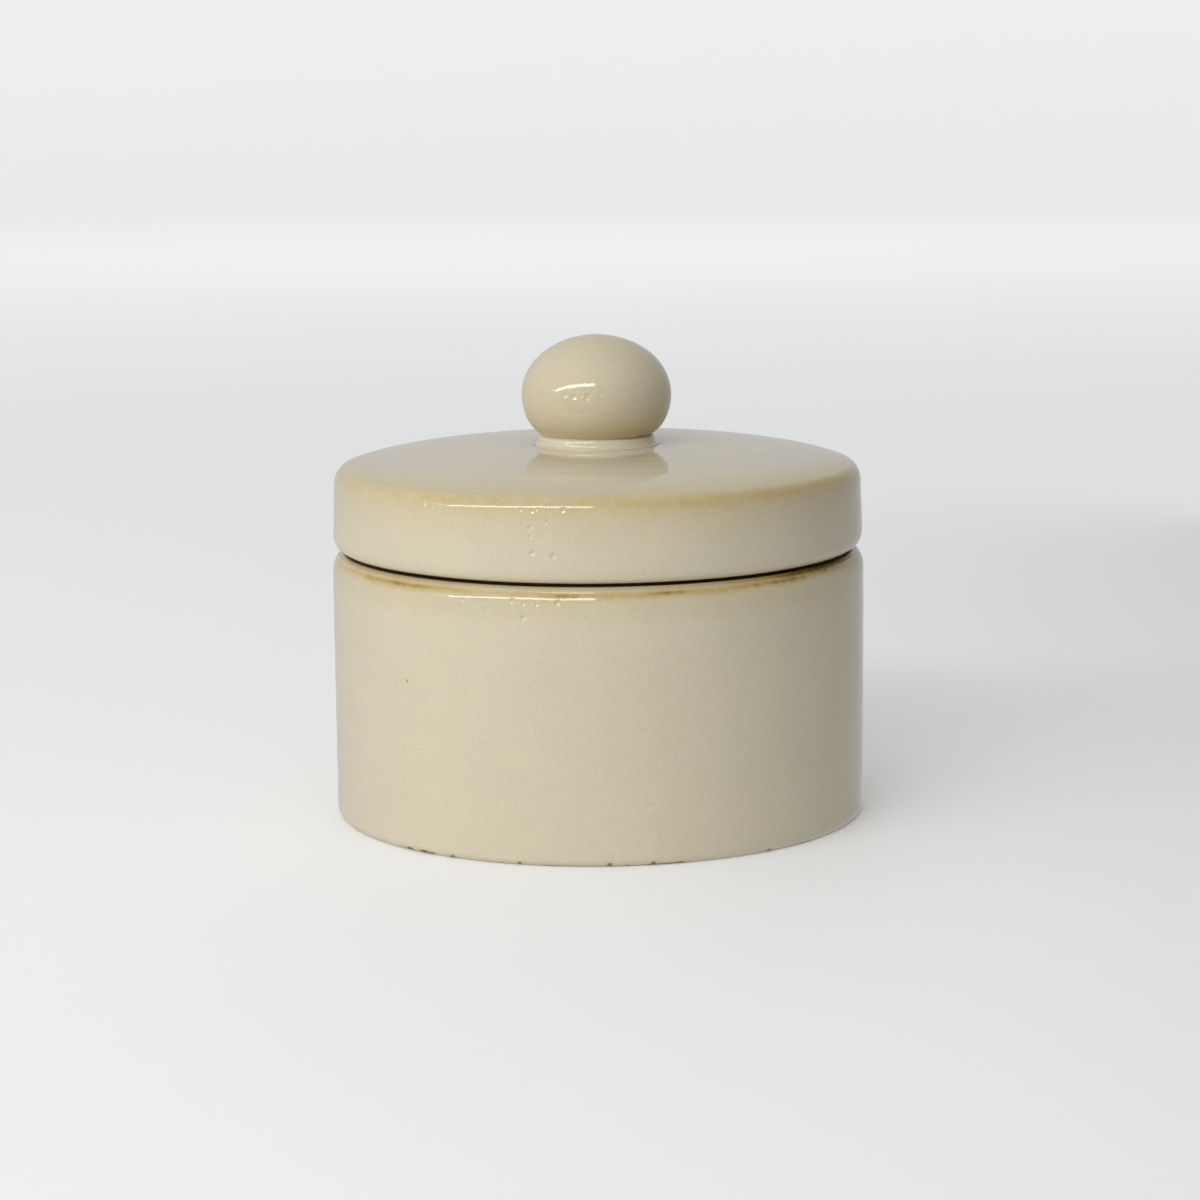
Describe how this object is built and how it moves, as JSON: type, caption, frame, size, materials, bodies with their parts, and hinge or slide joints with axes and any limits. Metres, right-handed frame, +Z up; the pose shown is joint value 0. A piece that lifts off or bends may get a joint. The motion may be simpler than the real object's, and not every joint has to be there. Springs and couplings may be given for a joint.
{
  "type": "lidded ceramic box",
  "caption": "Round straight-sided glazed stoneware box (pyxis) with a domed lid that seats in its mouth and lifts off by a ball knob.",
  "frame": {"origin": "on the pot's axis, level with the table that its foot ring stands on", "axes": "+Z straight up through the knob; the box is round about +Z, and the picture looks along +Y"},
  "size_m": [0.11, 0.11, 0.0989],
  "materials": {
    "cream_glaze": "glossy warm cream glaze that breaks to amber where it runs thin over the edges of the rim and lid, bare buff stoneware on the seat and the foot ring"
  },
  "bodies": {
    "pot": {"pot": "cream_glaze"},
    "lid": {"lid": "cream_glaze", "knob": "cream_glaze"}
  },
  "joints": [
    {"name": "lid_lift", "type": "slide", "parent": "pot", "child": "lid", "axis": [0, 0, 1], "range_m": [0, 0.12]}
  ]
}
